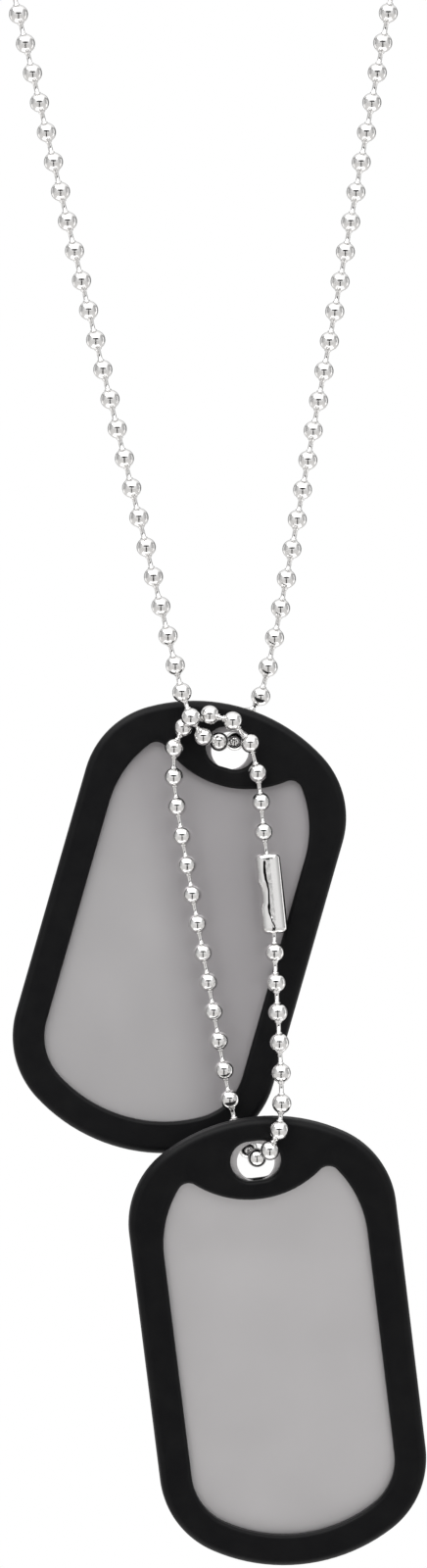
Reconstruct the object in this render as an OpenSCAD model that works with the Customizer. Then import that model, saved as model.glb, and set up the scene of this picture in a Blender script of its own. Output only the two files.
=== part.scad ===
// Pair of identification dog tags: two blank steel plates, each held in a black
// rubber silencer. The upper one hangs on a neck-length ball chain, the lower one
// on a short ball chain that is linked through the long one.
// It is modelled hanging, as worn: +Z is up and -Y faces the viewer. The origin is
// at the nape, in the middle of the clasp that closes the long chain.

/* [Tag plate] */
// Width of a plate
plate_w = 28.6; // [26:0.1:32]
// Length of a plate
plate_l = 50.8; // [46:0.1:56]
// Thickness of the sheet
plate_t = 0.5; // [0.4:0.05:0.8]
// Radius of the wide arc at each end of a plate
plate_end_r = 19.2; // [17:0.1:24]
// Radius of the four corners, which run into the end arcs
plate_corner_r = 9; // [7:0.1:11]
// Diameter of the hole for the chain
plate_hole_d = 4.5; // [3.6:0.1:4.8]
// Distance from the plate's end to the middle of the hole
hole_from_end = 3.1; // [3:0.1:3.6]

/* [Silencer] */
// Thickness of the rubber from front to back
silencer_t = 3; // [2.6:0.1:4]
// Rubber outside the plate's edge
silencer_wall = 1.55; // [1.2:0.05:2.4]
// Space left round the plate inside the rubber
seat_gap = 0.15; // [0.1:0.05:0.3]
// Further room and rubber beyond each end of the plate, where the ring is loosest
end_slack = 0.25; // [0.2:0.05:0.4]
// How far each plate has slid down inside its rubber
plate_drop = 0.3; // [0:0.05:0.3]
// Width of the rubber border that shows in front of the plate
border_w = 3.8; // [3:0.1:5]
// Radius that rounds the outer edge of the rubber
rim_round = 0.9; // [0.4:0.1:1.2]
// Radius that rounds the lips of the window and of the chain opening
lip_round = 0.5; // [0.2:0.1:0.7]
// Distance from the silencer's top edge to the lowest point of the lobe below the opening
lobe_drop = 9.7; // [9.5:0.1:10.4]
// Radius of the lobe's lower edge
lobe_r = 12; // [10:0.1:14]
// Radius that rounds the two ears of the window beside the lobe
ear_r = 1.4; // [1:0.1:1.6]
// Radius of the window's shoulders, beside the lobe
shoulder_r = 13.2; // [12:0.1:14]
// Distance from the silencer's top edge to the middle of the shoulders' arcs
shoulder_drop = 15.3; // [15:0.1:16]
// Height of the opening for the chain
opening_h = 4.8; // [4.7:0.1:5.3]
// Extra width of that opening, between the middles of its two round ends
opening_spread = 1.2; // [0.9:0.1:1.6]

/* [Ball chain] */
// Diameter of a ball
ball_d = 2.3; // [2:0.1:2.4]
// Distance from ball to ball along a taut chain
ball_pitch = 3.6; // [3.4:0.1:4]
// Thickness of the wall of a hollow ball
ball_wall = 0.4; // [0.3:0.05:0.5]
// Diameter of the pin between two balls
pin_d = 0.5; // [0.35:0.05:0.5]
// Diameter of the pin's head, which is trapped in the next ball
pin_head_d = 0.84; // [0.7:0.02:0.9]
// Space round a pin where it passes through a ball's wall
pin_gap = 0.12; // [0.1:0.01:0.15]

/* [Chain clasp] */
// Length of a clasp
clasp_l = 9.6; // [9:0.1:12]
// Thickness of the clasp's sheet
clasp_t = 0.25; // [0.15:0.05:0.3]
// Space round the ball at each end inside a clasp
clasp_gap = 0.15; // [0.1:0.01:0.2]
// Width of the seam along the front of a clasp
seam_w = 0.3; // [0.2:0.05:0.4]
// Depth of the pinch in the middle of a clasp
pinch_depth = 0.3; // [0.2:0.1:0.6]
// Length of that pinch
pinch_l = 2.4; // [2:0.1:3.2]

/* [Hanging] */
// Lean of the upper tag from upright, its top to the right
upper_lean = 16; // [0:0.5:20]
// Lean of the lower tag from upright, its top to the left
lower_lean = 7; // [0:0.5:20]
// Tilt of the lower tag on its chain, its top toward the viewer
lower_pitch = 8; // [0:1:10]
// Clearance between the chains and the faces of the tags that they pass
lane_gap = 0.3; // [0.3:0.05:0.6]
// Width of the loop that goes round the neck
neck_w = 116; // [100:1:140]
// Depth of the neck loop from front to back
neck_depth = 116; // [100:1:140]
// Height of the neck loop from the top of the straight strands to the nape
neck_rise = 68; // [55:1:85]

/* [Hidden] */

steel_colour = "#b4b2b2";
rubber_colour = "#1d1d1e";
chain_colour = "#d4d4d6";

// Segments of a full circle on the plates and rubber, and on the small chain parts
plan_fn = 144;
bead_fn = 48;
// Steps used to measure a stretch of chain
route_steps = 12;
// Steps in which a quarter of a rounded rubber edge is turned
round_steps = 4;
// Overshoot that makes a cut pass right through
past = 1;
// Where two smooth edges run into each other: how far one stops short of the other's
// arc, and how deep the ear's arc reaches into the lobe's
join = 0.1;
bite = 0.01;

ball_r = ball_d / 2;
cavity_r = ball_r - ball_wall;
eye_r = pin_d / 2 + pin_gap;
// From a ball's middle to the middle of the head that is trapped in it
head_offset = cavity_r - pin_head_d / 2 - pin_gap;

// Tag outline: middles of the corner arcs and of the end arcs, from the plate's middle
corner_x = plate_w / 2 - plate_corner_r;
end_y = plate_l / 2 - plate_end_r;
corner_y = end_y + sqrt(pow(plate_end_r - plate_corner_r, 2) - pow(corner_x, 2));
end_half_angle = atan2(corner_x, corner_y - end_y);
hole_y = plate_l / 2 - hole_from_end;

// Silencer: how far its outline, slot and window stand off the plate's outline
silencer_grow = seat_gap + silencer_wall;
silencer_top = plate_l / 2 + silencer_grow + end_slack;
slot_t = plate_t + 2 * seat_gap;
window_grow = silencer_grow - border_w;
window_half_w = plate_w / 2 + window_grow;

// Window top: middles of the shoulder, lobe and ear arcs. An ear's arc touches the
// shoulder's from inside and the lobe's from outside.
shoulder_c = [window_half_w - shoulder_r, silencer_top - shoulder_drop];
lobe_c = [0, silencer_top - lobe_drop + lobe_r];
ear_c = meeting_point(shoulder_c, shoulder_r - ear_r, lobe_c, lobe_r + ear_r - bite);

// Depths, front to back. A chain beside a tag's face keeps to a lane clear of it, and
// the lower tag hangs one lane in front of the chain before the upper one, a little
// further back to make up for the top that its tilt brings forward.
lane = silencer_t / 2 + lane_gap + ball_r;
lower_tag_depth = 0.15 - 2 * lane;
hole_lane = plate_t / 2 + seat_gap + ball_r;

// Clasp: half its outer width, and from its middle to the ball in each end
clasp_r = ball_r + clasp_gap + clasp_t;
clasp_reach = clasp_l / 2 - clasp_t - clasp_gap - ball_r;
pinch_r = (pow(pinch_l / 2, 2) + pow(pinch_depth, 2)) / (2 * pinch_depth);

// Route of the chains, from the bottom of the long chain's V. Each row is a ball's
// place; the balls between two rows are spaced evenly along a smooth curve.
v_top_z = 118;
nape = [0, neck_depth, v_top_z + neck_rise];
// Half of the neck loop: share of half the width, of the depth, and of the rise
neck_side = [
    [0.75, 0.14, 0.36],
    [0.97, 0.37, 0.61],
    [0.99, 0.65, 0.78],
    [0.69, 0.9, 0.935]
];
neck_clasp_axis = [-1, 0, 0];
neck_route = concat(
    [
        nape + clasp_reach * neck_clasp_axis,
        nape + (clasp_reach + ball_pitch) * neck_clasp_axis
    ],
    [for (i = [len(neck_side) - 1 : -1 : 0]) neck_point(neck_side[i], -1)],
    [
        [-29.4, 1, v_top_z],
        [-21.9, -lane, 86.9],
        [-11.8, -lane - 0.8, 44.4],
        [-3.15, -lane - 1.2, 9.1],
        [-2.35, -lane - 1.6, 5.85],
        [-1.3, -lane - 2.35, 2.85],
        [0.2, -lane - 0.6, 0.6],
        [2.1, -hole_lane, 0],
        [3.95, hole_lane, 0.1],
        [5.5, lane + 0.25, 3],
        [7.1, lane, 5.5],
        [8, lane - 0.15, 9],
        [14.05, lane - 1, 41],
        [22.4, lane - 2, 87.5],
        [28.3, 1, v_top_z]
    ],
    [for (row = neck_side) neck_point(row, 1)],
    [
        nape - (clasp_reach + ball_pitch) * neck_clasp_axis,
        nape - clasp_reach * neck_clasp_axis
    ]
);
upper_pivot = [2.1, -hole_lane, 0];
// Where the pivot ball lies in each silencer's opening, from the opening's middle
upper_seat = [-1.52, 0.35];
lower_seat = [0.22, 0.2];
short_clasp_middle = [8.3, -lane - 0.45, -18.1];
short_clasp_axis = unit([-0.1, 0, 1]);
lower_pivot = [6.6, -2 * lane - 0.25, -49.5];
short_route = [
    short_clasp_middle + clasp_reach * short_clasp_axis,
    [7.4, -lane - 0.2, -10.75],
    [6.7, -lane - 0.1, -3.7],
    [5.8, -lane - 0.5, -0.2],
    [3.7, -lane - 1.45, 2.45],
    [0.95, -lane - 0.85, 3.2],
    [-2.2, -lane, 1.65],
    [-3.3, -lane - 0.75, -0.75],
    [-3.35, -lane - 0.25, -4.2],
    [-1.75, -lane, -14.75],
    [0.8, -lane, -28.7],
    [3.35, -lane, -42.7],
    [4.1, -lane, -46],
    [5.5, -lane, -48.6],
    lower_pivot,
    [8.1, -3 * lane - 0.25, -48.5],
    [9.2, -3 * lane - 0.55, -46.1],
    [9.5, -3 * lane - 0.05, -42.95],
    [9.25, -2 * lane - 1.3, -35.8],
    [8.7, -lane - 1, -25.15],
    short_clasp_middle - clasp_reach * short_clasp_axis
];

function unit(v) = v / norm(v);

// Right-hand crossing of two circles, each given by its middle and radius
function meeting_point(c1, r1, c2, r2) =
    let (
        d = norm(c2 - c1),
        along = (d * d + r1 * r1 - r2 * r2) / (2 * d),
        across = sqrt(r1 * r1 - along * along),
        u = (c2 - c1) / d
    )
    c1 + along * u + across * [u[1], -u[0]];

function direction(from, to) = atan2(to[1] - from[1], to[0] - from[0]);

function neck_point(row, side) =
    [side * row[0] * neck_w / 2, row[1] * neck_depth, v_top_z + row[2] * neck_rise];

// Direction of a route at one of its rows
function heading(route, i) =
    i == 0 ? unit(route[1] - route[0])
    : i == len(route) - 1 ? unit(route[i] - route[i - 1])
    : unit(unit(route[i] - route[i - 1]) + unit(route[i + 1] - route[i]));

// Point at share t of the smooth curve from p to q with headings m and n
function curve_point(p, q, m, n, t) =
    let (d = norm(q - p))
    (2 * pow(t, 3) - 3 * t * t + 1) * p
    + (pow(t, 3) - 2 * t * t + t) * d * m
    + (3 * t * t - 2 * pow(t, 3)) * q
    + (pow(t, 3) - t * t) * d * n;

// Length of that curve up to each step, as pairs of length and share
function curve_lengths(p, q, m, n, step = 0, total = 0) =
    step == route_steps ? [[total, 1]]
    : let (
        here = curve_point(p, q, m, n, step / route_steps),
        next = curve_point(p, q, m, n, (step + 1) / route_steps)
    )
    concat([[total, step / route_steps]],
           curve_lengths(p, q, m, n, step + 1, total + norm(next - here)));

// Places of the balls from row i up to, and not counting, the next row
function stretch(route, i) =
    let (
        p = route[i],
        q = route[i + 1],
        m = heading(route, i),
        n = heading(route, i + 1),
        lengths = curve_lengths(p, q, m, n),
        total = lengths[route_steps][0],
        pitches = max(1, round(total / ball_pitch))
    )
    [for (k = [0 : pitches - 1]) curve_point(p, q, m, n, lookup(k * total / pitches, lengths))];

function ball_places(route) =
    concat([for (i = [0 : len(route) - 2]) each stretch(route, i)], [route[len(route) - 1]]);

// Turns the Z axis of its children to point along v, with no twist about it
module aim(v) {
    toward = atan2(v[1], v[0]);
    rotate([0, acos(v[2] / norm(v)), toward])
        rotate([0, 0, -toward])
            children();
}

// Half section of a slab from its middle out to r, its edge rounded in short steps
module slab_section(r, t, edge_round) {
    polygon(concat(
        [[0, t / 2], [0, -t / 2]],
        [for (a = [-90 : 90 / round_steps : 90])
            let (side = a < 0 ? -1 : 1)
            [r - edge_round * (1 - cos(a)), side * (t / 2 - edge_round) + edge_round * sin(a)]]
    ));
}

// Solid with the outline of the plate grown by grow, and longer by some at each end, in
// its own plan. Its straight and its two ends stop a little short of the corner discs
// that they run into.
module slab(grow, t, edge_round = 0, longer = 0) {
    end_r = plate_end_r + grow;
    sweep = end_half_angle - asin(join / end_r);
    rotate([90, 0, 0])
        linear_extrude(2 * (corner_y + longer - join), center = true)
            for (side = [0, 1])
                mirror([side, 0])
                    slab_section(plate_w / 2 + grow, t, edge_round);
    for (side = [0, 1], end = [0, 1])
        mirror([side, 0, 0])
            mirror([0, end, 0])
                translate([corner_x, corner_y + longer, 0])
                    rotate_extrude($fn = plan_fn)
                        slab_section(plate_corner_r + grow, t, edge_round);
    for (end = [0, 1])
        mirror([0, end, 0])
            translate([0, end_y + longer, 0])
                rotate_extrude(angle = 2 * sweep, start = 90 - sweep, $fn = plan_fn)
                    slab_section(end_r, t, edge_round);
}

// Stands a tag's plan upright and hangs it by its opening at a pivot
module hang(pivot, depth, lean, seat, pitch = 0) {
    translate([pivot[0], depth, pivot[2]])
        rotate([0, lean, 0])
            rotate([pitch, 0, 0])
                translate([-seat[0], 0, -hole_y - seat[1]])
                    rotate([90, 0, 0])
                        children();
}

module tag_plate() {
    translate([0, -plate_drop, 0])
        difference() {
            slab(0, plate_t);
            translate([0, hole_y, 0])
                cylinder(h = plate_t + 2 * past, d = plate_hole_d, center = true, $fn = plan_fn);
        }
}

// Edge of a cut through the rubber at r, or of the rubber left inside r, that rounds
// the lip of each face by running away from the cut, or back from it
function lip_edge(r, away) =
    let (face = silencer_t / 2)
    concat(
        [[r + away * lip_round, -face - past]],
        [for (a = [-90 : 90 / round_steps : 90])
            let (side = a < 0 ? -1 : 1)
            [r + away * lip_round * (1 - cos(a)), side * (face - lip_round) + lip_round * sin(a)]],
        [[r + away * lip_round, face + past]]
    );

// Half section of a cut from its middle out to r
module cut_section(r) {
    deep = silencer_t / 2 + past;
    polygon(concat([[0, deep], [0, -deep]], lip_edge(r, 1)));
}

module round_cut(middle, r) {
    translate(middle)
        rotate_extrude($fn = plan_fn)
            cut_section(r);
}

module pie_cut(middle, r, from, to) {
    translate(middle)
        rotate_extrude(angle = to - from, start = from, $fn = plan_fn)
            cut_section(r);
}

// Straight cut along Y with both its sides rounded, half_w to each side
module straight_cut(half_w, bottom, top) {
    translate([0, top, 0])
        rotate([90, 0, 0])
            linear_extrude(top - bottom)
                for (side = [0, 1])
                    mirror([side, 0])
                        cut_section(half_w);
}

// Opening through both faces that shows the plate, joined up as a slab is
module window() {
    end_r = plate_end_r + window_grow;
    sweep = end_half_angle - asin(join / end_r);
    shoulder_end = direction(shoulder_c, ear_c) - asin(join / shoulder_r);
    straight_cut(window_half_w, join - corner_y - end_slack, shoulder_c[1] - join);
    pie_cut([0, -end_y - end_slack], end_r, 270 - sweep, 270 + sweep);
    for (side = [0, 1])
        mirror([side, 0, 0]) {
            round_cut([corner_x, -corner_y - end_slack], plate_corner_r + window_grow);
            pie_cut(shoulder_c, shoulder_r, -45, shoulder_end);
            round_cut(ear_c, ear_r);
        }
    difference() {
        linear_extrude(silencer_t + 2 * past, center = true)
            polygon([[window_half_w / 2, 0], ear_c, lobe_c, [-ear_c[0], ear_c[1]],
                     [-window_half_w / 2, 0]]);
        translate(lobe_c)
            rotate_extrude($fn = plan_fn)
                polygon(concat([[0, silencer_t], [0, -silencer_t]],
                               [[lobe_r - lip_round, -silencer_t]],
                               lip_edge(lobe_r, -1),
                               [[lobe_r - lip_round, silencer_t]]));
    }
}

// Opening for the chain, wider than it is high, with round ends
module chain_opening() {
    for (side = [-1, 1])
        round_cut([side * opening_spread / 2, hole_y], opening_h / 2);
    translate([0, hole_y, 0])
        rotate(90)
            straight_cut(opening_h / 2, join - opening_spread / 2, opening_spread / 2 - join);
}

module silencer() {
    difference() {
        slab(silencer_grow, silencer_t, rim_round, end_slack);
        slab(seat_gap, slot_t, 0, end_slack);
        window();
        chain_opening();
    }
}

// Hollow ball with an eye on its Z axis for the pin that comes in
module hollow_ball() {
    rotate_extrude($fn = bead_fn)
        difference() {
            circle(ball_r, $fn = bead_fn);
            circle(cavity_r, $fn = bead_fn);
            translate([-ball_r, -ball_r])
                square([ball_r, 2 * ball_r]);
            square([eye_r, ball_r]);
        }
}

// Pin along Z from inside a ball's wall to its head, reach away from the ball's middle
module pin(reach) {
    wall_middle = ball_r - ball_wall / 2;
    rotate_extrude($fn = bead_fn) {
        translate([0, wall_middle])
            square([pin_d / 2, reach - wall_middle]);
        intersection() {
            translate([0, reach])
                circle(d = pin_head_d, $fn = bead_fn);
            translate([0, reach - pin_head_d])
                square([pin_head_d, 2 * pin_head_d]);
        }
    }
}

// Ball i of a chain: its eye faces the ball before it, its pin reaches into the next
module ball_link(places, i) {
    here = places[i];
    before = i > 0 ? places[i - 1] : 2 * here - places[1];
    translate(here) {
        aim(before - here)
            hollow_ball();
        if (i < len(places) - 1)
            aim(places[i + 1] - here)
                pin(norm(places[i + 1] - here) - head_offset);
    }
}

module ball_chain(route) {
    places = ball_places(route);
    for (i = [0 : len(places) - 1])
        ball_link(places, i);
}

// Tube of folded sheet with a seam, closed over the last ball of each chain end
module clasp() {
    pinch_x = pinch_r + clasp_r - pinch_depth;
    difference() {
        difference() {
            cylinder(h = clasp_l, r = clasp_r, center = true, $fn = bead_fn);
            translate([-pinch_x, 0, 0])
                rotate([90, 0, 0])
                    cylinder(h = 2 * clasp_r + past, r = pinch_r, center = true, $fn = bead_fn);
        }
        difference() {
            cylinder(h = clasp_l - 2 * clasp_t, r = clasp_r - clasp_t, center = true, $fn = bead_fn);
            translate([-pinch_x, 0, 0])
                rotate([90, 0, 0])
                    cylinder(h = 2 * clasp_r, r = pinch_r + clasp_t, center = true, $fn = bead_fn);
        }
        cylinder(h = clasp_l + past, r = eye_r, center = true, $fn = bead_fn);
        translate([-seam_w / 2, -clasp_r - past, -clasp_l / 2 - past])
            cube([seam_w, clasp_r + past, clasp_l + 2 * past]);
    }
}

module upper_tag_plate() {
    color(steel_colour)
        translate(-nape)
            hang(upper_pivot, 0, upper_lean, upper_seat)
                tag_plate();
}

module upper_silencer() {
    color(rubber_colour)
        translate(-nape)
            hang(upper_pivot, 0, upper_lean, upper_seat)
                silencer();
}

module lower_tag_plate() {
    color(steel_colour)
        translate(-nape)
            hang(lower_pivot, lower_tag_depth, -lower_lean, lower_seat, lower_pitch)
                tag_plate();
}

module lower_silencer() {
    color(rubber_colour)
        translate(-nape)
            hang(lower_pivot, lower_tag_depth, -lower_lean, lower_seat, lower_pitch)
                silencer();
}

module neck_chain() {
    color(chain_colour)
        translate(-nape)
            ball_chain(neck_route);
}

module neck_clasp() {
    color(chain_colour)
        aim(neck_clasp_axis)
            clasp();
}

module short_chain() {
    color(chain_colour)
        translate(-nape)
            ball_chain(short_route);
}

module short_clasp() {
    color(chain_colour)
        translate(short_clasp_middle - nape)
            aim(short_clasp_axis)
                clasp();
}

upper_tag_plate();
upper_silencer();
lower_tag_plate();
lower_silencer();
neck_chain();
neck_clasp();
short_chain();
short_clasp();
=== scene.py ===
# %% [markdown]
# # A pair of dog tags on ball chains
# Two blank steel plates sit in black rubber silencers. The upper one hangs on a long
# chain that goes round the neck, the lower one on a short chain linked through it.
# The solids of every piece come ready made, at their real size and place. This lesson
# gives each of them its real surface: thin formed metal, rounded rubber and a finish.

# %% Load the solids
import math
import random

import bmesh
import bpy
from mathutils import Matrix, Vector


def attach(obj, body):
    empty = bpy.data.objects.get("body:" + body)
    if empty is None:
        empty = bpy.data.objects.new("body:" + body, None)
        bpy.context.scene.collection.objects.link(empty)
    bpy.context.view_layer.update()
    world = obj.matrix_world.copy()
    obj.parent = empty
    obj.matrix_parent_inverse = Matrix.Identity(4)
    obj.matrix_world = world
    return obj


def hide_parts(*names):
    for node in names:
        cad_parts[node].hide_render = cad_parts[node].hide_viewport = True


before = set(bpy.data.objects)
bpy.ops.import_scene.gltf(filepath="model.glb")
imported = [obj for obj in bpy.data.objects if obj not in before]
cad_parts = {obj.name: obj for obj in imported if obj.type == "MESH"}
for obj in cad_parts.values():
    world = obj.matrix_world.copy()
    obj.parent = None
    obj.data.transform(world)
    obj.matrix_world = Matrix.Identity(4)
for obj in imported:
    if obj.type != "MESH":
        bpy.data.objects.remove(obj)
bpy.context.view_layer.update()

MM = 0.001
print("solids:", sorted(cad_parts))

# %% [markdown]
# ## The camera
# The photograph is a product shot from straight in front. The lower tag looks a little
# narrower at its foot than at its head, as things do when they lean away from a camera
# that is fairly near, so it stands 0.8 m away. The picture is 436 by 1600 pixels, and
# one pixel shows 0.1175 mm at the depth of the upper tag.

# %% Camera
PIXEL = 0.1175 * MM
PICTURE_HEIGHT = 1600 * PIXEL
CAMERA_DISTANCE = 0.8
TAG_DEPTH = -116 * MM
CAMERA_X, CAMERA_Z = 1.41 * MM, -191.05 * MM
SENSOR = 24.0

camera_data = bpy.data.cameras.new("camera")
camera_data.sensor_fit = "VERTICAL"
camera_data.sensor_height = SENSOR
camera_data.lens = SENSOR * CAMERA_DISTANCE / PICTURE_HEIGHT
camera_data.clip_start = 0.05
camera_data.clip_end = 50.0
camera = bpy.data.objects.new("camera", camera_data)
camera.location = (CAMERA_X, TAG_DEPTH - CAMERA_DISTANCE, CAMERA_Z)
camera.rotation_euler = (math.radians(90), 0, 0)
bpy.context.scene.collection.objects.link(camera)
bpy.context.scene.camera = camera
print("lens", round(camera_data.lens, 1), "mm")

# %% [markdown]
# ## Colours and nodes
# Colours are easiest to compare with a photograph as sRGB hex values, but light adds up
# in linear values, so one function turns the first into the second. A second one adds a
# shader node, with its own settings, the values of its sockets and what is linked in.

# %% Colour and node helpers
def linear(hex_colour):
    channels = [int(hex_colour[i:i + 2], 16) / 255 for i in (1, 3, 5)]
    return [c / 12.92 if c <= 0.04045 else ((c + 0.055) / 1.055) ** 2.4 for c in channels] + [1.0]


def add_node(tree, kind, settings={}, values={}, links={}):
    node = tree.nodes.new("ShaderNode" + kind)
    for name, value in settings.items():
        setattr(node, name, value)
    for name, value in values.items():
        node.inputs[name].default_value = value
    for name, output in links.items():
        tree.links.new(output, node.inputs[name])
    return node


def new_material(name):
    material = bpy.data.materials.new(name)
    material.use_nodes = True
    material.node_tree.nodes.clear()
    return material, material.node_tree


# %% [markdown]
# ## Stainless steel, tumbled
# The plates are stamped from stainless sheet and tumbled with stones, which leaves a
# satin skin: no line of grain, only a fine even tooth that blurs what it reflects. A
# metal takes all its colour from its reflections, so the base colour is that of bare
# steel, and the tooth is a small bump. Its real size, about 0.05 mm, is too fine for the
# picture, so it is drawn at 0.3 mm and kept faint. Handling leaves larger, softer
# patches, which only change how rough the skin is. A noise node seldom leaves the band
# from 0.3 to 0.7, so that band is what is spread over the range of roughness.

# %% Tumbled stainless
TOOTH = 0.3 * MM
HANDLING = 9 * MM
NOISE_LOW, NOISE_HIGH = 0.3, 0.7
SATIN_LOW, SATIN_HIGH = 0.48, 0.54
# The first grey is the steel's own colour; the other two are painted shade on the upper plate.
LIGHT_STEEL, SHADED_STEEL, DEEPER_SHADE_STEEL = "#cccacb", "#bdbbbc", "#b1aeb0"


def tumbled_sheet(name, hex_colour):
    material, tree = new_material(name)
    place = add_node(tree, "TexCoord").outputs["Object"]
    tooth = add_node(tree, "TexNoise", values={"Scale": 1 / TOOTH, "Detail": 2.0, "Roughness": 0.6},
                     links={"Vector": place})
    handling = add_node(tree, "TexNoise", values={"Scale": 1 / HANDLING, "Detail": 3.0},
                        links={"Vector": place})
    satin = add_node(tree, "MapRange",
                     values={"From Min": NOISE_LOW, "From Max": NOISE_HIGH,
                             "To Min": SATIN_LOW, "To Max": SATIN_HIGH},
                     links={"Value": handling.outputs["Fac"]})
    bump = add_node(tree, "Bump", values={"Strength": 0.25, "Distance": 0.01 * MM},
                    links={"Height": tooth.outputs["Fac"]})
    steel = add_node(tree, "BsdfPrincipled",
                     values={"Base Color": linear(hex_colour), "Metallic": 1.0},
                     links={"Roughness": satin.outputs["Result"], "Normal": bump.outputs["Normal"]})
    add_node(tree, "OutputMaterial", links={"Surface": steel.outputs["BSDF"]})
    print(name, "in", hex_colour)
    return material, tree, steel


clean_sheet = tumbled_sheet("tumbled_stainless_sheet", LIGHT_STEEL)[0]

# %% [markdown]
# ## Stainless steel, with painted shade
# The upper plate is the same steel painted a little greyer, as painted shade. Across its
# right side, where the short chain hangs in front of it, and at its top under the lobe
# of rubber, a darker painted shade stands for the shadow of the chain and the lobe. The
# chain's left strand is straight and leans a little, so how far a point lies across it
# is one dot product. The painted shade sets in softly over the last 6 mm before that
# strand. At the top it sets in with height, and only to 0.6 of its full strength.

# %% Stainless with painted shade
ACROSS_STRAND = (0.986, 0, 0.165)
SHADE_STARTS, SHADE_FULL = -41.15 * MM, -35.15 * MM
TOP_SHADE_STARTS, TOP_SHADE_FULL, TOP_SHADE_STRENGTH = -205 * MM, -188 * MM, 0.6

# The upper plate: the same steel in a greyer copy, which is painted shade.
shaded_sheet, tree, steel = tumbled_sheet("shaded_stainless_sheet", SHADED_STEEL)
place = add_node(tree, "TexCoord").outputs["Object"]
across = add_node(tree, "VectorMath", {"operation": "DOT_PRODUCT"},
                  values={1: ACROSS_STRAND}, links={0: place})
beside = add_node(tree, "MapRange", {"interpolation_type": "SMOOTHSTEP"},
                  values={"From Min": SHADE_STARTS, "From Max": SHADE_FULL},
                  links={"Value": across.outputs["Value"]})
height = add_node(tree, "SeparateXYZ", links={"Vector": place})
under = add_node(tree, "MapRange", {"interpolation_type": "SMOOTHSTEP"},
                 values={"From Min": TOP_SHADE_STARTS, "From Max": TOP_SHADE_FULL, "To Max": TOP_SHADE_STRENGTH},
                 links={"Value": height.outputs["Z"]})
# Painted shade beside the chain strand and under the lobe, added together.
painted_shade_and_rubbing = add_node(tree, "Math", {"operation": "ADD"},
                  links={0: beside.outputs["Result"], 1: under.outputs["Result"]})
grey = add_node(tree, "ValToRGB", links={"Fac": painted_shade_and_rubbing.outputs["Value"]})
grey.color_ramp.elements[0].color = linear(SHADED_STEEL)
grey.color_ramp.elements[1].color = linear(DEEPER_SHADE_STEEL)
tree.links.new(grey.outputs["Color"], steel.inputs["Base Color"])
# Prints over how many millimetres the painted shade beside the strand sets in.
print("the painted shade sets in over", round((SHADE_FULL - SHADE_STARTS) / MM, 1), "mm")

# %% [markdown]
# ## Silicone rubber, moulded
# The silencers are pressed in a mould that was blasted, not polished, so the black
# rubber is matt with a soft sheen where it curves. Rubber is not a metal: it has a deep
# grey of its own and a weak reflection, weaker still because its skin is dull. The
# blasted skin is drawn as a bump of 0.25 mm, and dust in its hollows makes it slightly
# greyer in places.

# %% Moulded rubber
MOULD_SKIN = 0.25 * MM
DUST = 2.5 * MM
DUST_STARTS, DUST_FULL = 0.35, 0.75
DULL_LOW, DULL_HIGH = 0.38, 0.52

moulded_rubber, tree = new_material("moulded_silicone_rubber")
place = add_node(tree, "TexCoord").outputs["Object"]
skin = add_node(tree, "TexNoise", values={"Scale": 1 / MOULD_SKIN, "Detail": 3.0, "Roughness": 0.6},
                links={"Vector": place})
dust = add_node(tree, "TexNoise", values={"Scale": 1 / DUST, "Detail": 4.0}, links={"Vector": place})
black = add_node(tree, "ValToRGB", links={"Fac": dust.outputs["Fac"]})
black.color_ramp.elements[0].position = DUST_STARTS
black.color_ramp.elements[0].color = linear("#060608")
black.color_ramp.elements[1].position = DUST_FULL
black.color_ramp.elements[1].color = linear("#0d0d0e")
dull = add_node(tree, "MapRange", values={"To Min": DULL_LOW, "To Max": DULL_HIGH},
                links={"Value": skin.outputs["Fac"]})
bump = add_node(tree, "Bump", values={"Strength": 0.3, "Distance": 0.02 * MM},
                links={"Height": skin.outputs["Fac"]})
rubber = add_node(tree, "BsdfPrincipled",
                  values={"IOR": 1.41, "Specular IOR Level": 0.18,
                          "Sheen Weight": 0.05, "Sheen Roughness": 0.35},
                  links={"Base Color": black.outputs["Color"], "Roughness": dull.outputs["Result"],
                         "Normal": bump.outputs["Normal"]})
add_node(tree, "OutputMaterial", links={"Surface": rubber.outputs["BSDF"]})
print("mould skin drawn at", round(MOULD_SKIN / MM, 2), "mm")

# %% [markdown]
# ## Bright nickel
# The balls, pins and clasps are formed from thin strip and then plated with bright
# nickel, a mirror with a very slight blur. Rolling the balls leaves faint dents, a
# little under a millimetre wide, that make their highlights wander. Fine rubbing
# between balls shows as small changes of roughness.

# %% Plated nickel
DENT = 0.9 * MM
RUB = 0.35 * MM
SHINE_LOW, SHINE_HIGH = 0.08, 0.17

bright_nickel, tree = new_material("bright_nickel_plate")
place = add_node(tree, "TexCoord").outputs["Object"]
dents = add_node(tree, "TexNoise", values={"Scale": 1 / DENT, "Detail": 1.0}, links={"Vector": place})
painted_shade_and_rubbing = add_node(tree, "TexNoise", values={"Scale": 1 / RUB, "Detail": 3.0}, links={"Vector": place})
shine = add_node(tree, "MapRange",
                 values={"From Min": NOISE_LOW, "From Max": NOISE_HIGH,
                         "To Min": SHINE_LOW, "To Max": SHINE_HIGH},
                 links={"Value": painted_shade_and_rubbing.outputs["Fac"]})
bump = add_node(tree, "Bump", values={"Strength": 0.3, "Distance": 0.02 * MM},
                links={"Height": dents.outputs["Fac"]})
nickel = add_node(tree, "BsdfPrincipled",
                  values={"Base Color": linear("#e2e1e0"), "Metallic": 1.0},
                  links={"Roughness": shine.outputs["Result"], "Normal": bump.outputs["Normal"]})
add_node(tree, "OutputMaterial", links={"Surface": nickel.outputs["BSDF"]})
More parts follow.
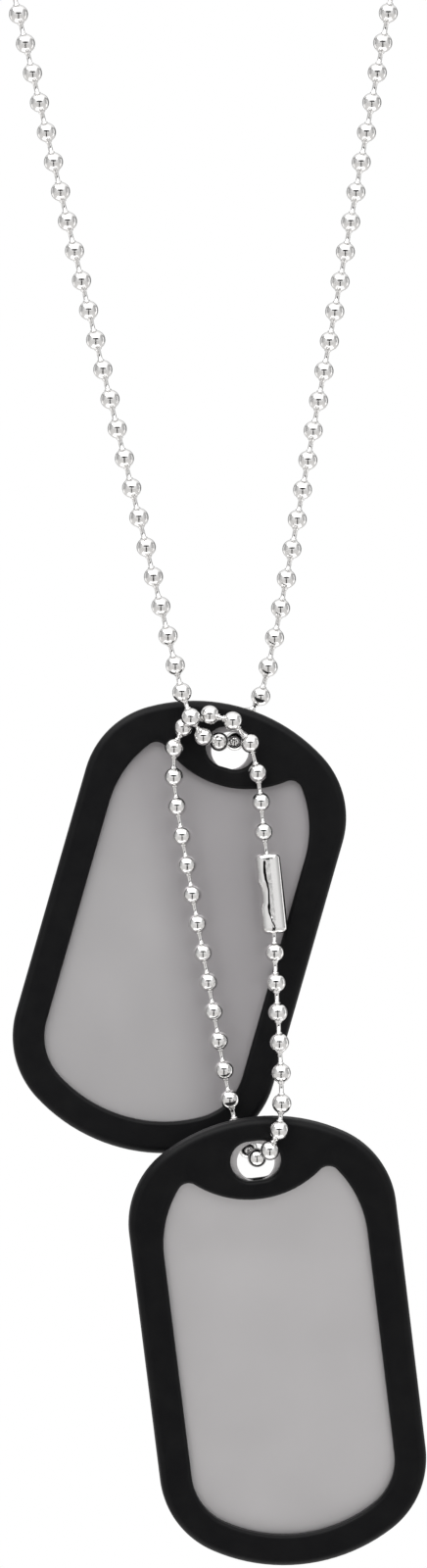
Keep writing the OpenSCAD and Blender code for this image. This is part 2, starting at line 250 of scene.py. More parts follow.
print("dents", round(DENT / MM, 2), "mm, rubbing", round(RUB / MM, 2), "mm")

# %% [markdown]
# ## Inside of a clasp
# The inner faces of a tube that is nearly closed are painted a dark, dull metal: painted
# shade for the darkness inside it, which shows behind the seam. This painted shade
# varies in patches of a millimetre or so.

# %% Painted shade inside the clasps
SHADE_PATCH = 1.2 * MM

# Painted shade for the inside of the clasps, drawn as a dark, dull metal.
shaded_inside, tree = new_material("shaded_clasp_inside")
place = add_node(tree, "TexCoord").outputs["Object"]
shade_patches = add_node(tree, "TexNoise", values={"Scale": 1 / SHADE_PATCH, "Detail": 3.0},
                links={"Vector": place})
skin = add_node(tree, "ValToRGB", links={"Fac": shade_patches.outputs["Fac"]})
# The two darks of the painted shade inside the tube.
skin.color_ramp.elements[0].color = linear("#2b2928")
skin.color_ramp.elements[1].color = linear("#474341")
dull = add_node(tree, "MapRange", values={"To Min": 0.5, "To Max": 0.65},
                links={"Value": shade_patches.outputs["Fac"]})
strip = add_node(tree, "BsdfPrincipled", values={"Metallic": 1.0},
                 links={"Base Color": skin.outputs["Color"], "Roughness": dull.outputs["Result"]})
add_node(tree, "OutputMaterial", links={"Surface": strip.outputs["BSDF"]})
print("materials:", sorted(material.name for material in bpy.data.materials if material.use_nodes))

# %% [markdown]
# ## From a list of arcs to a solid
# A stamped plate and a moulded ring are both flat shapes whose edges are rounded over.
# Every edge here is a chain of arcs that run smoothly into each other, so each point of
# it also knows which way is out. Growing an edge then only means moving its points
# that way, and a rounded edge is a few copies of it, grown and lowered step by step.
# A wall is made between the copies, and a cap fills the flat face between edges.

# %% Arcs, walls and caps
DEGREES_PER_STEP = 3.0
LEAST_STEPS = 3
SAME_POINT = 0.01
EDGE_STEPS = 5


def arc(middle, radius, start, end, inward=False):
    steps = max(LEAST_STEPS, round(abs(end - start) / DEGREES_PER_STEP))
    points = []
    for k in range(steps + 1):
        angle = math.radians(start + (end - start) * k / steps)
        out = Vector((math.cos(angle), math.sin(angle)))
        points.append((Vector(middle) + radius * out, -out if inward else out))
    return points


def joined(*arcs):
    outline = []
    for points in arcs:
        meets = outline and (points[0][0] - outline[-1][0]).length <= SAME_POINT
        outline += points[1:] if meets else points
    if (outline[0][0] - outline[-1][0]).length < SAME_POINT:
        outline.pop()
    return outline


def rounded(face, radius, grow_at_face):
    rows = []
    for k in range(EDGE_STEPS + 1):
        angle = math.radians(90 * k / EDGE_STEPS)
        rows.append((grow_at_face * (1 - math.sin(angle)), face - radius * (1 - math.cos(angle))))
    return rows


def mirrored(rows):
    return rows + [(grow, -height) for grow, height in reversed(rows)]


def wall(mesh, outline, rows):
    loops = [[mesh.verts.new((*(point + grow * out), height)) for point, out in outline]
             for grow, height in rows]
    for upper, lower in zip(loops, loops[1:]):
        for k in range(len(outline)):
            mesh.faces.new((upper[k - 1], upper[k], lower[k], lower[k - 1]))
    return loops


def cap(mesh, *loops):
    edges = [mesh.edges.get((loop[k - 1], loop[k])) for loop in loops for k in range(len(loop))]
    bmesh.ops.triangle_fill(mesh, edges=edges, use_beauty=True, use_dissolve=False)


# %% [markdown]
# Pieces are drawn in millimetres and scaled to metres at the end. Flat faces and rounded
# edges share points, so a plain smooth shade would tint the flat face. The weighted
# normals give the large face its say, and edges sharper than 40 degrees stay crisp.

# %% From drawing to object
SHARP_ANGLE = 40


def finish_piece(name, mesh, placing, materials, body, nodes, weighted=True):
    bmesh.ops.recalc_face_normals(mesh, faces=mesh.faces)
    data = bpy.data.meshes.new(name)
    mesh.to_mesh(data)
    mesh.free()
    data.transform(Matrix.Scale(MM, 4) @ placing)
    for face in data.polygons:
        face.use_smooth = True
    data.set_sharp_from_angle(angle=math.radians(SHARP_ANGLE))
    for material in materials:
        data.materials.append(material)
    piece = bpy.data.objects.new(name, data)
    bpy.context.scene.collection.objects.link(piece)
    if weighted:
        normals = piece.modifiers.new("weighted_normals", "WEIGHTED_NORMAL")
        normals.keep_sharp = True
    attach(piece, body)
    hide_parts(*nodes)
    print(name, len(data.polygons), "faces")


# %% [markdown]
# ## The tags' outline
# A plate is 28.6 mm wide and 50.8 mm long. Its sides are straight, its ends are wide
# arcs of 19.2 mm radius, and arcs of 9 mm join them. The silencer follows it 1.7 mm
# outside and is a touch longer, so both come from the same six arcs.

# %% Outline
PLATE_W, PLATE_L, PLATE_T = 28.6, 50.8, 0.5
END_R, CORNER_R = 19.2, 9.0
CORNER_X = PLATE_W / 2 - CORNER_R
END_Y = PLATE_L / 2 - END_R
CORNER_Y = END_Y + math.sqrt((END_R - CORNER_R) ** 2 - CORNER_X ** 2)
END_HALF_ANGLE = math.degrees(math.atan2(CORNER_X, CORNER_Y - END_Y))
HOLE_INSET, HOLE_R = 3.1, 2.25
HOLE_Y = PLATE_L / 2 - HOLE_INSET
END_SLACK = 0.25
PLATE_DROP = 0.3


def tag_outline(grow, longer=0.0):
    bend = 90 - END_HALF_ANGLE
    corner, end = CORNER_R + grow, END_R + grow
    corner_y, end_y = CORNER_Y + longer, END_Y + longer
    return joined(
        arc((CORNER_X, corner_y), corner, 0, bend),
        arc((0, end_y), end, bend, 180 - bend),
        arc((-CORNER_X, corner_y), corner, 180 - bend, 180),
        arc((-CORNER_X, -corner_y), corner, 180, 180 + bend),
        arc((0, -end_y), end, 180 + bend, 360 - bend),
        arc((CORNER_X, -corner_y), corner, 360 - bend, 360),
    )


print("corner middles at", round(CORNER_X, 2), round(CORNER_Y, 2), "mm")

# %% [markdown]
# ## Where the tags hang
# Each tag hangs by its hole on one ball of a chain and leans. The same numbers placed
# the solids: the ball's place, the tag's lean, the tilt of its top toward the viewer,
# and where in the hole the ball lies. The drawing is stood upright, so its thickness
# points at the viewer. Places are counted from the bottom of the long chain's V, and a
# last step moves them under the nape, where the whole set has its origin. A lane is how
# far in front of a tag's middle, or behind it, a chain runs: one lane lies outside the
# rubber, and a nearer one is where the chain bends through the hole.

# %% Placing
LANE = 2.95
HOLE_LANE = 1.55
NAPE = Vector((0, 116, 186))


def hung(pivot, lean, tilt, seat_x, seat_y):
    return (Matrix.Translation(Vector(pivot) - NAPE)
            @ Matrix.Rotation(math.radians(lean), 4, "Y")
            @ Matrix.Rotation(math.radians(tilt), 4, "X")
            @ Matrix.Translation((-seat_x, 0, -HOLE_Y - seat_y))
            @ Matrix.Rotation(math.radians(90), 4, "X"))


TAGS = {
    "upper": hung((2.1, 0, 0), 16, 0, -1.52, 0.35),
    "lower": hung((6.6, 0.15 - 2 * LANE, -49.5), -7, 8, 0.22, 0.2),
}
for tag, placing in TAGS.items():
    print(tag, "tag's middle at", [round(value, 1) for value in placing.translation], "mm")

# %% [markdown]
# ## Plates
# A plate is one blank sheet, 0.5 mm thick. Tumbling has taken the edge off its outline
# and off the punched hole, so both get a small round that catches a line of light. It
# has slid down a little in its rubber, which shows at the hole.

# %% Plates
PLATE_EDGE = 0.1
PUNCHED_EDGE = 0.14
# The upper plate gets the steel with painted shade, the lower one the plain steel.
SHEETS = {"upper": shaded_sheet, "lower": clean_sheet}

for tag, placing in TAGS.items():
    mesh = bmesh.new()
    rim = wall(mesh, tag_outline(0), mirrored(rounded(PLATE_T / 2, PLATE_EDGE, -PLATE_EDGE)))
    hole = wall(mesh, joined(arc((0, HOLE_Y), HOLE_R, 0, 360)),
                mirrored(rounded(PLATE_T / 2, PUNCHED_EDGE, PUNCHED_EDGE)))
    cap(mesh, rim[0], hole[0])
    cap(mesh, rim[-1], hole[-1])
    dropped = placing @ Matrix.Translation((0, -PLATE_DROP, 0))
    finish_piece(tag + "_plate", mesh, dropped, [SHEETS[tag]], tag + "_tag",
                 [tag + "_tag_plate"])

# %% [markdown]
# ## Silencers
# A silencer is a rubber ring, 3 mm thick, stretched over the plate's edge. Its window
# follows the plate but for a lobe that hangs down from the top round the opening for
# the chain, with a small ear of window on each side of it. Shoulder, ear and lobe are
# arcs, each given by its middle and its radius on the drawing of the tag.

# %% Window and opening
SILENCER_T = 3.0
SEAT_GAP, SEAT_WALL, BORDER = 0.15, 1.55, 3.8
SILENCER_GROW = SEAT_GAP + SEAT_WALL
WINDOW_GROW = SILENCER_GROW - BORDER
SHOULDER, SHOULDER_R = (-1.0, 12.05), 13.2
EAR, EAR_R = (8.381, 19.208), 1.4
LOBE, LOBE_R = (0.0, 29.65), 12.0
OPENING_R, OPENING_SPREAD = 2.4, 1.2


def direction(start, end):
    return math.degrees(math.atan2(end[1] - start[1], end[0] - start[0]))


def window_outline():
    bend = 90 - END_HALF_ANGLE
    corner, end = CORNER_R + WINDOW_GROW, END_R + WINDOW_GROW
    ear_start, ear_end = direction(SHOULDER, EAR), direction(EAR, LOBE)
    return joined(
        arc((0, -END_Y - END_SLACK), end, 180 + bend, 360 - bend),
        arc((CORNER_X, -CORNER_Y - END_SLACK), corner, 360 - bend, 360),
        arc(SHOULDER, SHOULDER_R, 0, ear_start),
        arc(EAR, EAR_R, ear_start, ear_end),
        arc(LOBE, LOBE_R, ear_end - 180, -ear_end, inward=True),
        arc((-EAR[0], EAR[1]), EAR_R, 180 - ear_end, 180 - ear_start),
        arc((-SHOULDER[0], SHOULDER[1]), SHOULDER_R, 180 - ear_start, 180),
        arc((-CORNER_X, -CORNER_Y - END_SLACK), corner, 180, 180 + bend),
    )


def opening_outline():
    return joined(arc((OPENING_SPREAD / 2, HOLE_Y), OPENING_R, -90, 90),
                  arc((-OPENING_SPREAD / 2, HOLE_Y), OPENING_R, 90, 270))


print("window", len(window_outline()), "points, opening", len(opening_outline()), "points")

# %% [markdown]
# The ring has a well rounded rim outside, softer lips at the window and the opening, and
# a slot inside that takes the sheet. The mould's two halves meet at half thickness and
# leave a hair of a ridge round the outside. Carving a slot out of a solid would leave
# poor faces, so the ring is made of walls and caps: rim, slot, and for the front and
# the back a face outside and a face inside, joined by the lips.

# %% Silencer mesh
FACE = SILENCER_T / 2
SLOT_FACE = PLATE_T / 2 + SEAT_GAP
RIM_ROUND, LIP_ROUND = 0.9, 0.5
RIDGE = 0.04
ridge_rows = [(0, 3 * RIDGE), (RIDGE, 0.5 * RIDGE)]

for tag, placing in TAGS.items():
    mesh = bmesh.new()
    rim = wall(mesh, tag_outline(SILENCER_GROW, END_SLACK),
               mirrored(rounded(FACE, RIM_ROUND, -RIM_ROUND) + ridge_rows))
    slot = wall(mesh, tag_outline(SEAT_GAP, END_SLACK), [(0, SLOT_FACE), (0, -SLOT_FACE)])
    lip = rounded(FACE, LIP_ROUND, LIP_ROUND) + [(0, SLOT_FACE)]
    for side in (1, -1):
        rows = [(grow, side * height) for grow, height in lip]
        window = wall(mesh, window_outline(), rows)
        opening = wall(mesh, opening_outline(), rows)
        cap(mesh, rim[0] if side == 1 else rim[-1], window[0], opening[0])
        cap(mesh, slot[0] if side == 1 else slot[-1], window[-1], opening[-1])
    finish_piece(tag + "_rubber", mesh, placing, [moulded_rubber], tag + "_tag",
                 [tag + "_silencer"])

# %% [markdown]
# ## The chains' routes
# A ball chain is a row of hollow balls, each joined to the next by a short pin. The
# rows below are places that a ball must have, in millimetres from the bottom of the
# long chain's V. Between two rows the balls are spaced evenly along a smooth curve,
# which is how the solids were placed, so the formed balls land exactly on them. The
# loop round the neck is the same on both sides, so its rows are written once, as shares
# of its half width, its depth and its rise above the top of the V. A clasp holds the
# last ball of each end, 3.25 mm to either side of its own middle.

# %% Routes
BALL_R = 1.15
PITCH = 3.6
CLASP_LENGTH = 9.6
CLASP_R = 1.55
CLASP_REACH = 3.25
NECK_W, NECK_DEPTH, NECK_RISE, V_TOP = 116, 116, 68, 118
NECK_SIDE = [(0.75, 0.14, 0.36), (0.97, 0.37, 0.61), (0.99, 0.65, 0.78), (0.69, 0.9, 0.935)]


def neck_point(row, side):
    return (side * row[0] * NECK_W / 2, row[1] * NECK_DEPTH, V_TOP + row[2] * NECK_RISE)


neck_clasp_axis = Vector((-1, 0, 0))
clasp_ball, next_ball = CLASP_REACH * neck_clasp_axis, (CLASP_REACH + PITCH) * neck_clasp_axis
neck_route = (
    [NAPE + clasp_ball, NAPE + next_ball]
    + [neck_point(row, -1) for row in reversed(NECK_SIDE)]
    + [(-29.4, 1, V_TOP), (-21.9, -LANE, 86.9), (-11.8, -LANE - 0.8, 44.4),
       (-3.15, -LANE - 1.2, 9.1), (-2.35, -LANE - 1.6, 5.85), (-1.3, -LANE - 2.35, 2.85),
       (0.2, -LANE - 0.6, 0.6), (2.1, -HOLE_LANE, 0), (3.95, HOLE_LANE, 0.1),
       (5.5, LANE + 0.25, 3), (7.1, LANE, 5.5), (8, LANE - 0.15, 9),
       (14.05, LANE - 1, 41), (22.4, LANE - 2, 87.5), (28.3, 1, V_TOP)]
    + [neck_point(row, 1) for row in NECK_SIDE]
    + [NAPE - next_ball, NAPE - clasp_ball]
)

short_clasp_middle = Vector((8.3, -LANE - 0.45, -18.1))
short_clasp_axis = Vector((-0.1, 0, 1)).normalized()
short_route = (
    [short_clasp_middle + CLASP_REACH * short_clasp_axis]
    + [(7.4, -LANE - 0.2, -10.75), (6.7, -LANE - 0.1, -3.7), (5.8, -LANE - 0.5, -0.2),
       (3.7, -LANE - 1.45, 2.45), (0.95, -LANE - 0.85, 3.2), (-2.2, -LANE, 1.65),
       (-3.3, -LANE - 0.75, -0.75), (-3.35, -LANE - 0.25, -4.2), (-1.75, -LANE, -14.75),
       (0.8, -LANE, -28.7), (3.35, -LANE, -42.7), (4.1, -LANE, -46), (5.5, -LANE, -48.6),
       (6.6, -2 * LANE - 0.25, -49.5), (8.1, -3 * LANE - 0.25, -48.5),
       (9.2, -3 * LANE - 0.55, -46.1), (9.5, -3 * LANE - 0.05, -42.95),
       (9.25, -2 * LANE - 1.3, -35.8), (8.7, -LANE - 1, -25.15)]
    + [short_clasp_middle - CLASP_REACH * short_clasp_axis]
)
print(len(neck_route), "rows round the neck,", len(short_route), "on the short chain")

# %% [markdown]
# The curve between two rows starts and ends in their headings. Its length is measured
# in 12 short steps, and each ball is put where its share of that length falls.

# %% Balls along a route
CURVE_STEPS = 12


def heading(rows, i):
    before = (rows[i] - rows[i - 1]).normalized() if i > 0 else Vector()
    after = (rows[i + 1] - rows[i]).normalized() if i < len(rows) - 1 else Vector()
    return (before + after).normalized()


def curve_point(p, q, m, n, t):
    d = (q - p).length
    return ((2 * t ** 3 - 3 * t * t + 1) * p + (t ** 3 - 2 * t * t + t) * d * m
            + (3 * t * t - 2 * t ** 3) * q + (t ** 3 - t * t) * d * n)


def ball_places(route):
    rows = [Vector(row) for row in route]
    places = []
    for i in range(len(rows) - 1):
        ends = (rows[i], rows[i + 1], heading(rows, i), heading(rows, i + 1))
        steps = [curve_point(*ends, k / CURVE_STEPS) for k in range(CURVE_STEPS + 1)]
        lengths = [0.0]
        for a, b in zip(steps, steps[1:]):
            lengths.append(lengths[-1] + (b - a).length)
        pitches = max(1, round(lengths[-1] / PITCH))
        for k in range(pitches):
            want = k * lengths[-1] / pitches
            j = max(j for j in range(CURVE_STEPS) if lengths[j] <= want)
            share = (j + (want - lengths[j]) / (lengths[j + 1] - lengths[j])) / CURVE_STEPS
            places.append(curve_point(*ends, share))
    places.append(rows[-1])
    return [place - NAPE for place in places]


neck_places = ball_places(neck_route)
short_places = ball_places(short_route)
print(len(neck_places), "balls round the neck,", len(short_places), "on the short chain")

# %% [markdown]
# ## Balls and pins
# A ball is rolled from thin strip, so it has a fine seam from pole to pole, and it is a
# touch flat at the poles where the pins go in. Round each pin the strip is drawn out
# into a small collar. Spinning a profile about an axis gives both, and one function
# adds a spun profile to a mesh, with its axis along any line. The seam is one row of
# points that is pressed in a little. The profile stops 14 degrees short of each pole.

# %% Spun profiles
BALL_SEGMENTS, BALL_RINGS = 28, 16
PIN_SEGMENTS = 14
SEAM_DEPTH = 0.02
POLE = 14.0


def spin(mesh, start, along, profile, segments, roll=0.0, seam=0.0):
    turn = Vector((0, 0, 1)).rotation_difference(along)
    loops = []
    for height, radius in profile:
        loop = []
        for k in range(segments):
            angle = roll + 2 * math.pi * k / segments
            r = radius - (seam if k == 0 else 0)
            loop.append(mesh.verts.new(
                start + turn @ Vector((r * math.cos(angle), r * math.sin(angle), height))))
        loops.append(loop)
    for lower, upper in zip(loops, loops[1:]):
        for k in range(segments):
            mesh.faces.new((lower[k - 1], lower[k], upper[k], upper[k - 1]))
    mesh.faces.new(list(reversed(loops[0])))
    mesh.faces.new(loops[-1])


ball_profile = []
for k in range(BALL_RINGS + 1):
    latitude = math.radians(-90 + POLE + (180 - 2 * POLE) * k / BALL_RINGS)
    ball_profile.append((BALL_R * math.sin(latitude), BALL_R * math.cos(latitude)))
print("balls", 2 * BALL_R, "mm wide, flat over", round(2 * ball_profile[0][1], 2), "mm at the poles")

# %% [markdown]
# A pin shows as a straight shank, 0.54 mm thick, between two collars. Its ends are
# inside the balls. Half of its profile is written as heights from the middle of the
# ball and radii, and the other half is its mirror image. The seam of each ball is
# turned at random, as the chain twists.

# %% Chains
SHANK_R, COLLAR_R = 0.27, 0.42
twist = random.Random(4)


def pin_profile(pitch):
    half = [(BALL_R - 0.12, COLLAR_R), (BALL_R + 0.02, COLLAR_R), (BALL_R + 0.07, COLLAR_R - 0.04),
            (BALL_R + 0.12, SHANK_R + 0.03), (BALL_R + 0.16, SHANK_R)]
    return half + [(pitch - height, radius) for height, radius in reversed(half)]


def make_chain(name, places, node):
    balls, pins = bmesh.new(), bmesh.new()
    for i, place in enumerate(places):
        roll = twist.uniform(0, 2 * math.pi)
        spin(balls, place, heading(places, i), ball_profile, BALL_SEGMENTS, roll, SEAM_DEPTH)
        if i < len(places) - 1:
            step = places[i + 1] - place
            spin(pins, place, step.normalized(), pin_profile(step.length), PIN_SEGMENTS)
    for part, mesh in (("_balls", balls), ("_pins", pins)):
        finish_piece(name + part, mesh, Matrix(), [bright_nickel], "chains",
                     [node], weighted=False)


make_chain("neck", neck_places, "neck_chain")
make_chain("short", short_places, "short_chain")

# %% [markdown]
# ## Clasps
# A clasp is a strip rolled into a tube round the last ball of each end. Its two long
# edges meet in a seam that wanders, because one of them is cut in a wave that holds the
# balls in their pockets, and the tube is pinched at its middle, to the left of the
# seam. Both ends are turned in to a small mouth. The strip is drawn as one curved
# sheet, from edge to edge round the tube, and is then given its thickness.
#
# The tube was bent round a flat former, so its section is a circle on the way to a
# square: a power of 2 would be round, and 2.5 is a touch square. Each row of the seam's
# table is a height along the tube, how far the seam lies off the middle there, and half
# the width of the gap. Between rows the seam runs in soft steps.

# %% Clasp profile
SHEET = 0.25
CLASP_ROUND, ROUND_STEPS = 0.65, 6
SQUARENESS = 2.5
MOUTH_R = 0.45
SEAM_WAVE = [(-4.2, 0.06, 0.002), (-3.9, 0.03, 0.08), (-3.3, -0.2, 0.1), (-2.1, -0.44, 0.11),
             (-1.5, -0.42, 0.16), (-1.0, -0.35, 0.11), (0.4, -0.27, 0.1), (1.2, -0.35, 0.11),
             (1.8, -0.46, 0.14), (2.7, -0.51, 0.15), (3.8, -0.43, 0.15), (4.1, -0.42, 0.002)]
AROUND, ALONG = 56, 64


def read_table(table, height):
    for (h0, *low), (h1, *high) in zip(table, table[1:]):
        if height <= h1:
            share = max(0.0, (height - h0) / (h1 - h0))
            share = share * share * (3 - 2 * share)
            return [a + (b - a) * share for a, b in zip(low, high)]
    return table[-1][1:]


def clasp_profile():
    straight = CLASP_LENGTH / 2 - CLASP_ROUND
    end = [(CLASP_LENGTH / 2, MOUTH_R), (CLASP_LENGTH / 2, CLASP_R - CLASP_ROUND)]
    for k in range(1, ROUND_STEPS):
        angle = math.radians(90 - 90 * k / ROUND_STEPS)
        end.append((straight + CLASP_ROUND * math.sin(angle),
                    CLASP_R - CLASP_ROUND * (1 - math.cos(angle))))
    side = [(straight - 2 * straight * k / ALONG, CLASP_R) for k in range(ALONG + 1)]
    return end + side + [(-height, radius) for height, radius in reversed(end)]


print("clasp", CLASP_LENGTH, "by", 2 * CLASP_R, "mm,", len(clasp_profile()), "rows")

# %% [markdown]
# The pinch is a dent on the left side alone. It is flat along its middle and steep at
# its two ends, so it falls off with a third power along the tube, and with a softer one
# round it. The sheet gets its thickness inwards. The faces that look into the tube, and
# the cut edges of the seam, are the ones that hardly face away from its middle, and
# they get the dark painted shade of the inside.

# %% Clasps
PINCH_DEPTH, PINCH_MIDDLE, PINCH_HALF = 0.33, -0.1, 1.4
PINCH_ENDS, PINCH_SIDES = 3, 1.5
FACES_AWAY = 0.5


def clasp_reach(x, y, height, radius):
    square = (abs(x) ** SQUARENESS + abs(y) ** SQUARENESS) ** (-1 / SQUARENESS)
    along = max(0.0, 1 - abs((height - PINCH_MIDDLE) / PINCH_HALF) ** PINCH_ENDS)
    return radius * square - PINCH_DEPTH * along * max(0.0, -x) ** PINCH_SIDES


def make_clasp(name, middle, axis, node):
    mesh = bmesh.new()
    rows = []
    for height, radius in clasp_profile():
        offset, half_gap = read_table(SEAM_WAVE, height)
        right = math.asin((offset + half_gap) / CLASP_R)
        left = math.asin((offset - half_gap) / CLASP_R)
        row = []
        for k in range(AROUND + 1):
            angle = right + (2 * math.pi - (right - left)) * k / AROUND
            x, y = math.sin(angle), -math.cos(angle)
            reach = clasp_reach(x, y, height, radius)
            row.append(mesh.verts.new((reach * x, reach * y, height)))
        rows.append(row)
    for upper, lower in zip(rows, rows[1:]):
        for k in range(AROUND):
            mesh.faces.new((upper[k], upper[k + 1], lower[k + 1], lower[k]))
    bmesh.ops.recalc_face_normals(mesh, faces=mesh.faces)
    outward = sum(face.normal.dot(Vector((*face.calc_center_median().xy, 0))) for face in mesh.faces)
    bmesh.ops.solidify(mesh, geom=mesh.faces[:], thickness=SHEET if outward > 0 else -SHEET)
    bmesh.ops.recalc_face_normals(mesh, faces=mesh.faces)
    for face in mesh.faces:
        # Inner faces and seam edges get the second material, the painted shade of the inside.
        face.material_index = int(face.normal.dot(face.calc_center_median()) < FACES_AWAY)
    turn = Vector((0, 0, 1)).rotation_difference(axis).to_matrix().to_4x4()
    finish_piece(name, mesh, Matrix.Translation(middle - NAPE) @ turn, [bright_nickel, shaded_inside],
                 "chains", [node], weighted=False)


make_clasp("short_clasp_sheet", short_clasp_middle, short_clasp_axis, "short_clasp")
make_clasp("neck_clasp_sheet", NAPE, neck_clasp_axis, "neck_clasp")

# %% [markdown]
# ## Studio
# Small shiny balls show the whole room, so the room is part of the picture. In the
# photograph each ball has a white cap and a white foot, grey cheeks, a grey rim, and a
# small dark T at its middle: a bright ceiling, a reflector below, grey walls, and the
# camera's own stand.
#
# The ceiling and the walls are the world itself, which reads only the way that a ray
# goes. The walls are white behind the camera and get darker toward the back of the room,
# and a ball mirrors the back of the room at its rim, so that makes the grey rim. The
# ceiling is brighter. It starts above a certain height, ends some way out to either
# side, and has soft borders. The camera itself sees plain white paper instead.

# %% World
WALLS = [(0.0, "#ffffff"), (0.16, "#fbfbfb"), (0.34, "#d2d2d2"), (0.56, "#b6b6b6"), (1.0, "#868686")]
WALL_LIGHT, CEILING_LIGHT = 1.0, 1.9
CEILING_STARTS, CEILING_FULL = 0.34, 0.46
SIDE_ENDS, SIDE_FULL = 0.76, 0.6

world = bpy.data.worlds.new("studio")
bpy.context.scene.world = world
world.use_nodes = True
tree = world.node_tree
tree.nodes.clear()
way = add_node(tree, "SeparateXYZ", links={"Vector": add_node(tree, "TexCoord").outputs["Generated"]})
backward = add_node(tree, "MapRange", values={"From Min": -1.0, "From Max": 1.0},
                    links={"Value": way.outputs["Y"]})
walls = add_node(tree, "ValToRGB", links={"Fac": backward.outputs["Result"]})
while len(walls.color_ramp.elements) < len(WALLS):
    walls.color_ramp.elements.new(0.5)
for stop, (position, hex_colour) in zip(walls.color_ramp.elements, WALLS):
    stop.position = position
    stop.color = linear(hex_colour)
above = add_node(tree, "MapRange", values={"From Min": CEILING_STARTS, "From Max": CEILING_FULL},
                 links={"Value": way.outputs["Z"]})
aside = add_node(tree, "Math", {"operation": "ABSOLUTE"}, links={0: way.outputs["X"]})
within = add_node(tree, "MapRange", values={"From Min": SIDE_ENDS, "From Max": SIDE_FULL},
                  links={"Value": aside.outputs[0]})
ceiling = add_node(tree, "Math", {"operation": "MULTIPLY"},
                   links={0: above.outputs["Result"], 1: within.outputs["Result"]})
strength = add_node(tree, "MapRange",
                    values={"To Min": WALL_LIGHT, "To Max": WALL_LIGHT + CEILING_LIGHT},
                    links={"Value": ceiling.outputs[0]})
room = add_node(tree, "Background",
                links={"Color": walls.outputs["Color"], "Strength": strength.outputs["Result"]})
paper = add_node(tree, "Background", values={"Color": (1, 1, 1, 1), "Strength": 1.0})
seen = add_node(tree, "LightPath").outputs["Is Camera Ray"]
both = add_node(tree, "MixShader", links={0: seen, 1: room.outputs[0], 2: paper.outputs[0]})
add_node(tree, "OutputWorld", links={"Surface": both.outputs[0]})
print("world:", len(tree.nodes), "nodes,", len(walls.color_ramp.elements), "greys on its walls")

# %% [markdown]
# ## Softboxes
# Four lit panels do the rest. A wide one just above the floor is the reflector that
# gives each ball its white foot. Two upright strips stand behind the tags, at the right
# and at the left, and lighten the balls and the clasps toward their sides. A strong one,
# high up in front at the left, lays the soft band of light on the upper left edge of
# the rubber. How bright a panel looks is its radiance, and its power is that times pi
# and its area.

# %% Softboxes
def softbox(name, place, aim, size, radiance):
    light = bpy.data.lights.new(name, "AREA")
    light.shape = "RECTANGLE"
    light.size, light.size_y = size
    light.energy = radiance * math.pi * size[0] * size[1]
    box = bpy.data.objects.new(name, light)
    box.location = place
    box.rotation_euler = (Vector(aim) - Vector(place)).to_track_quat("-Z", "Y").to_euler()
    box.visible_camera = False
    bpy.context.scene.collection.objects.link(box)
    print(name, round(light.energy, 2), "W")


softbox("low_reflector", (0, -0.05, -1.05), (0, -0.05, 0), (1.3, 1.1), 1.0)
softbox("right_strip", (1.3, 0.35, -0.2), (0, -0.12, -0.2), (0.3, 1.4), 1.2)
softbox("left_strip", (-1.25, 0.75, -0.2), (0, -0.12, -0.2), (0.8, 1.4), 0.5)
softbox("high_strip", (-0.55, -0.45, 0.7), (0, -0.12, -0.22), (0.9, 0.5), 3.0)

# %% [markdown]
# ## Floor and dark card
# The floor is a wide sheet of pale paper, far below the tags, so no shadow shows in the
# picture. The dark card stands just behind the camera, which doesn't see it, and is the
# T in the balls: a bar above the lens, and a stem from it down to the floor and a little
# way along it. The stem has a gap just below the lens, because the flat front of the
# clasp mirrors just that place, and the clasp is bright in the photograph.

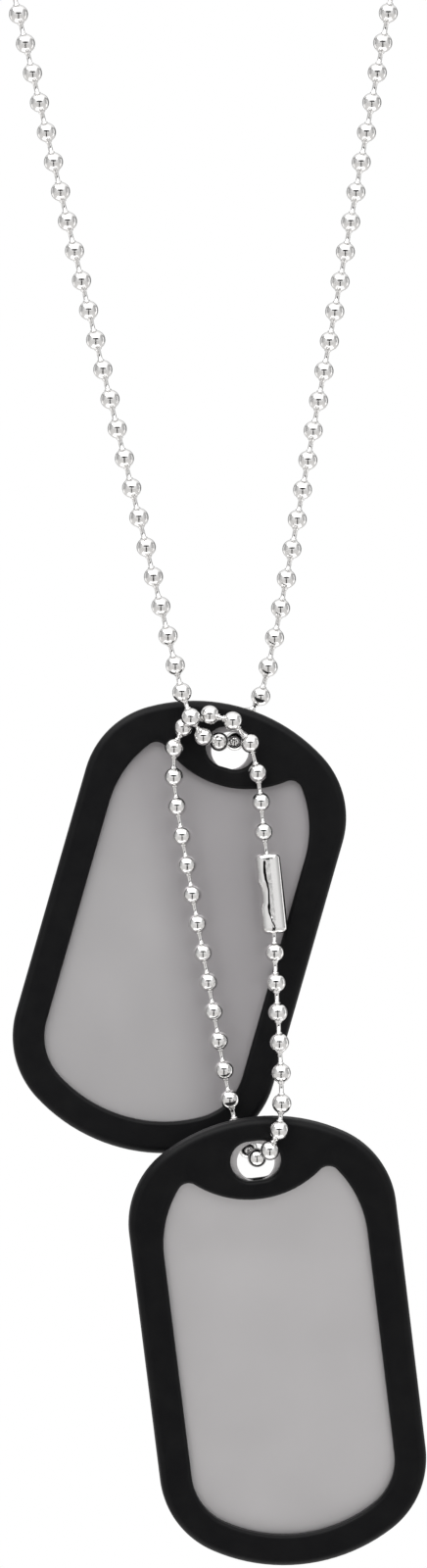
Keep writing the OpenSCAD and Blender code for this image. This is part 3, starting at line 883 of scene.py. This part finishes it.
# %% Floor and dark card
plain_paper, tree = new_material("pale_floor_paper")
matt = add_node(tree, "BsdfPrincipled", values={"Base Color": linear("#c8c7c6"), "Roughness": 0.85})
add_node(tree, "OutputMaterial", links={"Surface": matt.outputs["BSDF"]})
dark_cloth, tree = new_material("dark_cloth")
cloth = add_node(tree, "BsdfPrincipled", values={"Base Color": linear("#101010"), "Roughness": 0.95})
add_node(tree, "OutputMaterial", links={"Surface": cloth.outputs["BSDF"]})


def stage_sheet(name, corners, faces, material):
    data = bpy.data.meshes.new(name)
    data.from_pydata(corners, [], faces)
    data.materials.append(material)
    sheet = bpy.data.objects.new(name, data)
    bpy.context.scene.collection.objects.link(sheet)
    print(name, len(faces), "faces")
    return sheet


FLOOR_Z, FLOOR_HALF = -1.1, 6.0
corners = [(x * FLOOR_HALF, y * FLOOR_HALF, FLOOR_Z) for x, y in ((-1, -1), (1, -1), (1, 1), (-1, 1))]
stage_sheet("floor", corners, [(0, 1, 2, 3)], plain_paper)

CARD_BEHIND = 0.02
CARD_Y = TAG_DEPTH - CAMERA_DISTANCE - CARD_BEHIND
BAR_HALF, BAR_LOW, BAR_HIGH = 0.5, -0.08, 0.2
STEM_HALF, GAP_LOW, GAP_HIGH = 0.11, -0.246, -0.194
FOOT_Y, FOOT_Z = -0.64, FLOOR_Z + 0.01
corners = [(side * half, CARD_Y, z)
           for half, low, high in ((BAR_HALF, BAR_LOW, BAR_HIGH), (STEM_HALF, GAP_HIGH, BAR_LOW),
                                   (STEM_HALF, FLOOR_Z, GAP_LOW))
           for side, z in ((-1, low), (1, low), (1, high), (-1, high))]
corners += [(side * STEM_HALF, y, FOOT_Z)
            for side, y in ((-1, CARD_Y), (1, CARD_Y), (1, FOOT_Y), (-1, FOOT_Y))]
faces = [tuple(range(i, i + 4)) for i in range(0, len(corners), 4)]
card = stage_sheet("dark_card", corners, faces, dark_cloth)
card.visible_camera = False

# %% [markdown]
# The picture is shown as the light values are, without a film curve, so white paper is
# white and the grey of the steel can be compared with the photograph's.

# %% View
bpy.context.scene.view_settings.view_transform = "Standard"
